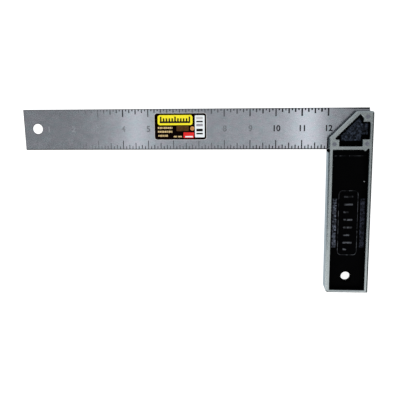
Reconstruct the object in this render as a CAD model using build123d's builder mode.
"""Twelve-inch try square: a ground steel blade riveted into a die-cast stock with black moulded inlays.

Frame: millimetres, the square lying flat. +X runs along the blade towards the stock, +Y runs up from the stock's
foot towards the blade, +Z is the thickness, with the labelled front face upwards. The origin is under the middle of
the whole tool, at the middle of the smallest box round it, on the surface that it lies on (Z = 0).

The working corner, where the stock's guide face meets the blade's inner edge, is the datum for every profile below:
at(x, y) turns a distance from that corner into the frame above, x positive into the stock, y positive up the blade.
"""

import os

from build123d import *

os.makedirs("parts", exist_ok=True)

# ---------------------------------------------------------------- driving dimensions, mm
SCALE_LENGTH = 304.8  # twelve inches from the guide face to the tip of the scale
BLADE_WIDTH = 40.5
BLADE_THICK = 1.2
BLADE_SETIN = 39.7  # how far the blade runs into the stock past the guide face
TIP_RAKE = 1.0  # the tip isn't quite square: its lower corner stands this much short of the upper one
BLADE_HOLE_D = 10.3
BLADE_HOLE_AT = (-290.6, 21.3)

STOCK_WIDTH = 42.5
STOCK_THICK = 18.0
STOCK_FOOT = 144.5  # how far the stock runs below the blade's inner edge
STOCK_TOP = 37.3  # how far the head runs above the blade's inner edge
MITRE_START = 11.4  # where the 45 degree edge leaves the guide face, above the working corner
EDGE_BEVEL = 1.4  # on the front and back faces
EDGE_BEVEL_DEPTH = 1.0  # down the sides
FOOT_CORNER_R = 3.6
HEAD_CORNER_R = 2.0

POCKET_DEPTH = 7.5  # grip pocket, each side: leaves a 3 mm web
HEAD_POCKET_DEPTH = 6.8  # head pocket, each side: leaves 4.4 mm, sawn for the blade
POCKET_CORNER_R = 0.7
POCKET_MOUTH = 0.4  # small chamfer round the mouths of the pockets

INLAY_GAP = 0.08  # side clearance of a moulding in its pocket
INLAY_WALL = 0.9
INLAY_LIP_DROP = 0.5  # the moulding's rim stands this much below the stock's face
INLAY_FLOOR_DROP = 5.2  # the moulding's floor is this much below the stock's face

HANG_HOLE_D = 9.3
HANG_HOLE_AT = (21.0, -129.2)
HANG_DISH_D = 12.4
HANG_DISH_DEPTH = 1.8

RELIEF_R = 2.0  # round relief at the working corner, clear of dirt and burrs
RELIEF_AT = (-0.5, -0.65)
RELIEF_SKIN = 1.6  # it is sunk from the front, and this much metal is left at the back

RIVET_D = 3.2
RIVET_HEAD_D = 4.2
RIVET_HEAD_DEEP = 0.9
RIVET_SINK = 0.1  # the headed ends stand this much below the stock's faces
RIVETS = {
    "rivet_upper": (36.4, 32.0),
    "rivet_lower_inner": (5.4, 5.6),
    "rivet_lower_outer": (36.6, 6.0),
}

LABEL_SIZE = (51.6, 26.0)
LABEL_AT = (-145.3, 23.05)
LABEL_THICK = 0.1
LABEL_CORNER_R = 2.5

# ---------------------------------------------------------------- derived
MID = STOCK_THICK / 2  # the blade's middle plane
GUIDE_X = (SCALE_LENGTH - STOCK_WIDTH) / 2  # X of the guide face
EDGE_Y = (STOCK_FOOT - BLADE_WIDTH) / 2  # Y of the blade's inner edge
BLADE_LOW = MID - BLADE_THICK / 2
BLADE_HIGH = MID + BLADE_THICK / 2


def at(x, y):
    """A point given from the working corner, in the part's frame."""
    return (GUIDE_X + x, EDGE_Y + y)


def path(points):
    """The same for a list of corners."""
    return [at(*p) for p in points]


STOCK_OUTLINE = [
    (0.0, -STOCK_FOOT),
    (STOCK_WIDTH, -STOCK_FOOT),
    (STOCK_WIDTH, STOCK_TOP),
    (STOCK_TOP - MITRE_START, STOCK_TOP),
    (0.0, MITRE_START),
]
BLADE_OUTLINE = [
    (-SCALE_LENGTH + TIP_RAKE, 0.0),
    (BLADE_SETIN, 0.0),
    (BLADE_SETIN, BLADE_WIDTH),
    (-SCALE_LENGTH, BLADE_WIDTH),
]
SAW_CUT = [
    (-1.0, 0.0),
    (STOCK_WIDTH + 1.0, 0.0),
    (STOCK_WIDTH + 1.0, STOCK_TOP + 1.0),
    (-1.0, STOCK_TOP + 1.0),
]
# The grip pocket: a long rectangle whose top edge dips round the outer rivet's boss and rises in the corner beyond it.
GRIP_POCKET = [
    (4.3, 0.0),
    (33.0, 0.0),
    (35.3, -1.5),
    (39.1, 2.3),
    (39.1, -141.9),
    (4.3, -141.9),
]
# The head pocket: a triangle under the 45 degree edge, cut back round the three rivet bosses.
HEAD_POCKET = [
    (6.2, 11.2),
    (7.6, 9.9),
    (10.3, 9.9),
    (10.3, 3.35),
    (32.2, 3.35),
    (32.2, 10.1),
    (39.1, 10.1),
    (39.1, 27.0),
    (32.5, 27.0),
    (32.5, 31.4),
    (29.5, 34.5),
]
# The raised textured pad on the head inlay.
HEAD_PAD = [
    (11.8, 8.5),
    (31.2, 8.5),
    (31.2, 14.6),
    (37.6, 14.6),
    (37.6, 25.6),
    (31.2, 25.6),
    (31.0, 30.2),
    (29.6, 31.7),
    (11.8, 13.9),
]
GRIP_STRIPS = [(5.7, 9.9), (33.0, 37.8)]  # X from and to of the two gripping strips
GRIP_STRIP_Y = (-98.6, -48.6)
EMBLEM_FRAME = (11.5, 31.0, -106.6, -40.4)  # raised border: X from, X to, Y from, Y to
# Plain raised bars inside the border: X from, X to, Y of the middle, height along Y.
EMBLEM_BARS = [
    (16.6, 26.0, -46.8, 2.2),
    (16.6, 26.0, -54.6, 2.2),
    (16.6, 22.4, -62.4, 2.2),
    (16.6, 26.0, -70.2, 2.2),
    (16.6, 26.0, -78.0, 2.2),
    (16.6, 24.2, -85.8, 2.2),
    (16.6, 26.0, -93.6, 2.2),
    (16.6, 20.6, -100.4, 2.2),
]
STEP_RIDGE_Y = -6.2  # thin ridge across the top of the grip inlay

# ================================================================= stock_body
with BuildPart() as stock_body:
    with BuildSketch(Plane.XY) as stock_outline:
        with BuildLine():
            Polyline(*path(STOCK_OUTLINE), close=True)
        make_face()
    extrude(amount=STOCK_THICK)
    # The foot's corner on the guide side is well rounded, the other foot corner stays square.
    foot = stock_body.edges().filter_by(Axis.Z).group_by(Axis.Y)[0]
    fillet(foot.sort_by(Axis.X)[0], FOOT_CORNER_R)
    # The head's three corners are eased.
    head = stock_body.edges().filter_by(Axis.Z).filter_by_position(Axis.Y, EDGE_Y, EDGE_Y + STOCK_TOP)
    fillet(head, HEAD_CORNER_R)
    # The bevel that runs all round the front and back faces, a little wider than it is deep.
    for flat in stock_body.faces().filter_by(Axis.Z):
        chamfer(flat.edges(), EDGE_BEVEL, EDGE_BEVEL_DEPTH, reference=flat)

    # Pockets in both faces.
    for face_z, inward in ((STOCK_THICK, -1), (0.0, 1)):
        with BuildSketch(Plane.XY.offset(face_z)) as grip_pocket:
            with BuildLine():
                Polyline(*path(GRIP_POCKET), close=True)
            make_face()
            fillet(grip_pocket.vertices(), POCKET_CORNER_R)
        extrude(amount=inward * POCKET_DEPTH, mode=Mode.SUBTRACT)
        with BuildSketch(Plane.XY.offset(face_z)) as head_pocket:
            with BuildLine():
                Polyline(*path(HEAD_POCKET), close=True)
            make_face()
            fillet(head_pocket.vertices(), POCKET_CORNER_R)
        extrude(amount=inward * HEAD_POCKET_DEPTH, mode=Mode.SUBTRACT)
    # The pockets' mouths are broken with a small chamfer.
    flats = stock_body.faces().filter_by(Axis.Z).sort_by(Axis.Z)
    for flat in (flats[0], flats[-1]):
        chamfer([edge for wire in flat.inner_wires() for edge in wire.edges()], POCKET_MOUTH)

    # The saw cut that holds the blade: open on the guide side, the top and the outer face.
    with BuildSketch(Plane.XY.offset(BLADE_LOW)):
        with BuildLine():
            Polyline(*path(SAW_CUT), close=True)
        make_face()
    extrude(amount=BLADE_THICK, mode=Mode.SUBTRACT)

    # Hanging hole through the web.
    with BuildSketch(Plane.XY):
        with Locations(at(*HANG_HOLE_AT)):
            Circle(HANG_HOLE_D / 2)
    extrude(amount=STOCK_THICK, mode=Mode.SUBTRACT)

    # Round relief at the working corner, sunk from the front.
    with BuildSketch(Plane.XY.offset(RELIEF_SKIN)):
        with Locations(at(*RELIEF_AT)):
            Circle(RELIEF_R)
    extrude(amount=STOCK_THICK, mode=Mode.SUBTRACT)

    # Rivet holes, countersunk at both faces for the headed ends.
    for rx, ry in RIVETS.values():
        px, py = at(rx, ry)
        with BuildSketch(Plane(origin=(px, py, 0), x_dir=(1, 0, 0), z_dir=(0, -1, 0))):
            with BuildLine():
                Polyline(
                    (0, 0),
                    (RIVET_HEAD_D / 2, 0),
                    (RIVET_D / 2, RIVET_HEAD_DEEP),
                    (RIVET_D / 2, STOCK_THICK - RIVET_HEAD_DEEP),
                    (RIVET_HEAD_D / 2, STOCK_THICK),
                    (0, STOCK_THICK),
                    close=True,
                )
            make_face()
        revolve(axis=Axis((px, py, 0), (0, 0, 1)), mode=Mode.SUBTRACT)
stock_body.part.label = "stock_body"
export_step(stock_body.part, "parts/stock_body.step")

# ================================================================= blade
with BuildPart() as blade:
    with BuildSketch(Plane.XY.offset(BLADE_LOW)) as blade_outline:
        with BuildLine():
            Polyline(*path(BLADE_OUTLINE), close=True)
        make_face()
        fillet(blade_outline.vertices().group_by(Axis.X)[-1], 0.5)
        with Locations(at(*BLADE_HOLE_AT)):
            Circle(BLADE_HOLE_D / 2, mode=Mode.SUBTRACT)
        with Locations(*[at(*p) for p in RIVETS.values()]):
            Circle(RIVET_D / 2, mode=Mode.SUBTRACT)
    extrude(amount=BLADE_THICK)
blade.part.label = "blade"
export_step(blade.part, "parts/blade.step")


# ================================================================= rivets
def rivet(x, y):
    """One headed steel pin through the stock and the blade."""
    px, py = at(x, y)
    slope = (RIVET_HEAD_D - RIVET_D) / 2 / RIVET_HEAD_DEEP
    end_r = RIVET_HEAD_D / 2 - slope * RIVET_SINK
    with BuildPart() as pin:
        with BuildSketch(Plane(origin=(px, py, 0), x_dir=(1, 0, 0), z_dir=(0, -1, 0))):
            with BuildLine():
                Polyline(
                    (0, RIVET_SINK),
                    (end_r, RIVET_SINK),
                    (RIVET_D / 2, RIVET_HEAD_DEEP),
                    (RIVET_D / 2, STOCK_THICK - RIVET_HEAD_DEEP),
                    (end_r, STOCK_THICK - RIVET_SINK),
                    (0, STOCK_THICK - RIVET_SINK),
                    close=True,
                )
            make_face()
        revolve(axis=Axis((px, py, 0), (0, 0, 1)))
    return pin


rivet_upper = rivet(*RIVETS["rivet_upper"])
rivet_upper.part.label = "rivet_upper"
export_step(rivet_upper.part, "parts/rivet_upper.step")

rivet_lower_inner = rivet(*RIVETS["rivet_lower_inner"])
rivet_lower_inner.part.label = "rivet_lower_inner"
export_step(rivet_lower_inner.part, "parts/rivet_lower_inner.step")

rivet_lower_outer = rivet(*RIVETS["rivet_lower_outer"])
rivet_lower_outer.part.label = "rivet_lower_outer"
export_step(rivet_lower_outer.part, "parts/rivet_lower_outer.step")

# ================================================================= front_grip_inlay
FLOOR_Z = STOCK_THICK - INLAY_FLOOR_DROP
with BuildPart() as front_grip_inlay:
    # Tray: a floor on the web and a thin wall up the sides of the pocket.
    with BuildSketch(Plane.XY.offset(STOCK_THICK - POCKET_DEPTH)) as tray:
        with BuildLine():
            Polyline(*path(GRIP_POCKET), close=True)
        make_face()
        fillet(tray.vertices(), POCKET_CORNER_R)
        offset(amount=-INLAY_GAP, mode=Mode.REPLACE)
    extrude(amount=POCKET_DEPTH - INLAY_LIP_DROP)
    with BuildSketch(Plane.XY.offset(FLOOR_Z)) as cavity:
        with BuildLine():
            Polyline(*path(GRIP_POCKET), close=True)
        make_face()
        fillet(cavity.vertices(), POCKET_CORNER_R)
        offset(amount=-(INLAY_GAP + INLAY_WALL), kind=Kind.INTERSECTION, mode=Mode.REPLACE)
    extrude(amount=INLAY_FLOOR_DROP, mode=Mode.SUBTRACT)
    # Gripping strips along both sides.
    with BuildSketch(Plane.XY.offset(FLOOR_Z)) as strips:
        for x0, x1 in GRIP_STRIPS:
            with Locations(at((x0 + x1) / 2, sum(GRIP_STRIP_Y) / 2)):
                RectangleRounded(x1 - x0, GRIP_STRIP_Y[1] - GRIP_STRIP_Y[0], 0.6)
    extrude(amount=1.0)
    # Rounded border and the plain bars inside it.
    fx0, fx1, fy0, fy1 = EMBLEM_FRAME
    with BuildSketch(Plane.XY.offset(FLOOR_Z)) as border:
        with Locations(at((fx0 + fx1) / 2, (fy0 + fy1) / 2)):
            RectangleRounded(fx1 - fx0, fy1 - fy0, 4.0)
            RectangleRounded(fx1 - fx0 - 1.6, fy1 - fy0 - 1.6, 3.2, mode=Mode.SUBTRACT)
    extrude(amount=0.5)
    with BuildSketch(Plane.XY.offset(FLOOR_Z)) as bars:
        for x0, x1, y, high in EMBLEM_BARS:
            with Locations(at((x0 + x1) / 2, y)):
                RectangleRounded(x1 - x0, high, 0.5)
    extrude(amount=0.6)
    # Thin ridge across the top.
    with BuildSketch(Plane.XY.offset(FLOOR_Z)) as ridge:
        with Locations(at(STOCK_WIDTH / 2 + 0.5, STEP_RIDGE_Y)):
            Rectangle(32.2, 0.8)
    extrude(amount=0.4)
    # Dish and hole round the hanging hole.
    with BuildSketch(Plane.XY.offset(FLOOR_Z)) as dish:
        with Locations(at(*HANG_HOLE_AT)):
            Circle(HANG_DISH_D / 2)
    extrude(amount=-HANG_DISH_DEPTH, taper=20, mode=Mode.SUBTRACT)
    with BuildSketch(Plane.XY.offset(STOCK_THICK)) as through:
        with Locations(at(*HANG_HOLE_AT)):
            Circle(HANG_HOLE_D / 2)
    extrude(amount=-POCKET_DEPTH, mode=Mode.SUBTRACT)
front_grip_inlay.part.label = "front_grip_inlay"
export_step(front_grip_inlay.part, "parts/front_grip_inlay.step")

# ================================================================= back_grip_inlay
with BuildPart() as back_grip_inlay:
    mirror(front_grip_inlay.part, about=Plane.XY.offset(MID))
back_grip_inlay.part.label = "back_grip_inlay"
export_step(back_grip_inlay.part, "parts/back_grip_inlay.step")

# ================================================================= front_head_inlay
with BuildPart() as front_head_inlay:
    with BuildSketch(Plane.XY.offset(STOCK_THICK - HEAD_POCKET_DEPTH)) as head_tray:
        with BuildLine():
            Polyline(*path(HEAD_POCKET), close=True)
        make_face()
        fillet(head_tray.vertices(), POCKET_CORNER_R)
        offset(amount=-INLAY_GAP, mode=Mode.REPLACE)
    extrude(amount=HEAD_POCKET_DEPTH - INLAY_LIP_DROP)
    with BuildSketch(Plane.XY.offset(FLOOR_Z)) as head_cavity:
        with BuildLine():
            Polyline(*path(HEAD_POCKET), close=True)
        make_face()
        offset(amount=-(INLAY_GAP + INLAY_WALL), kind=Kind.INTERSECTION, mode=Mode.REPLACE)
    extrude(amount=INLAY_FLOOR_DROP, mode=Mode.SUBTRACT)
    # Raised pad that carries the texture.
    with BuildSketch(Plane.XY.offset(FLOOR_Z)) as head_pad:
        with BuildLine():
            Polyline(*path(HEAD_PAD), close=True)
        make_face()
        fillet(head_pad.vertices(), 0.6)
    extrude(amount=1.8)
front_head_inlay.part.label = "front_head_inlay"
export_step(front_head_inlay.part, "parts/front_head_inlay.step")

# ================================================================= back_head_inlay
with BuildPart() as back_head_inlay:
    mirror(front_head_inlay.part, about=Plane.XY.offset(MID))
back_head_inlay.part.label = "back_head_inlay"
export_step(back_head_inlay.part, "parts/back_head_inlay.step")

# ================================================================= label
with BuildPart() as label:
    with BuildSketch(Plane.XY.offset(BLADE_HIGH)):
        with Locations(at(*LABEL_AT)):
            RectangleRounded(LABEL_SIZE[0], LABEL_SIZE[1], LABEL_CORNER_R)
    extrude(amount=LABEL_THICK)
label.part.label = "label"
export_step(label.part, "parts/label.step")
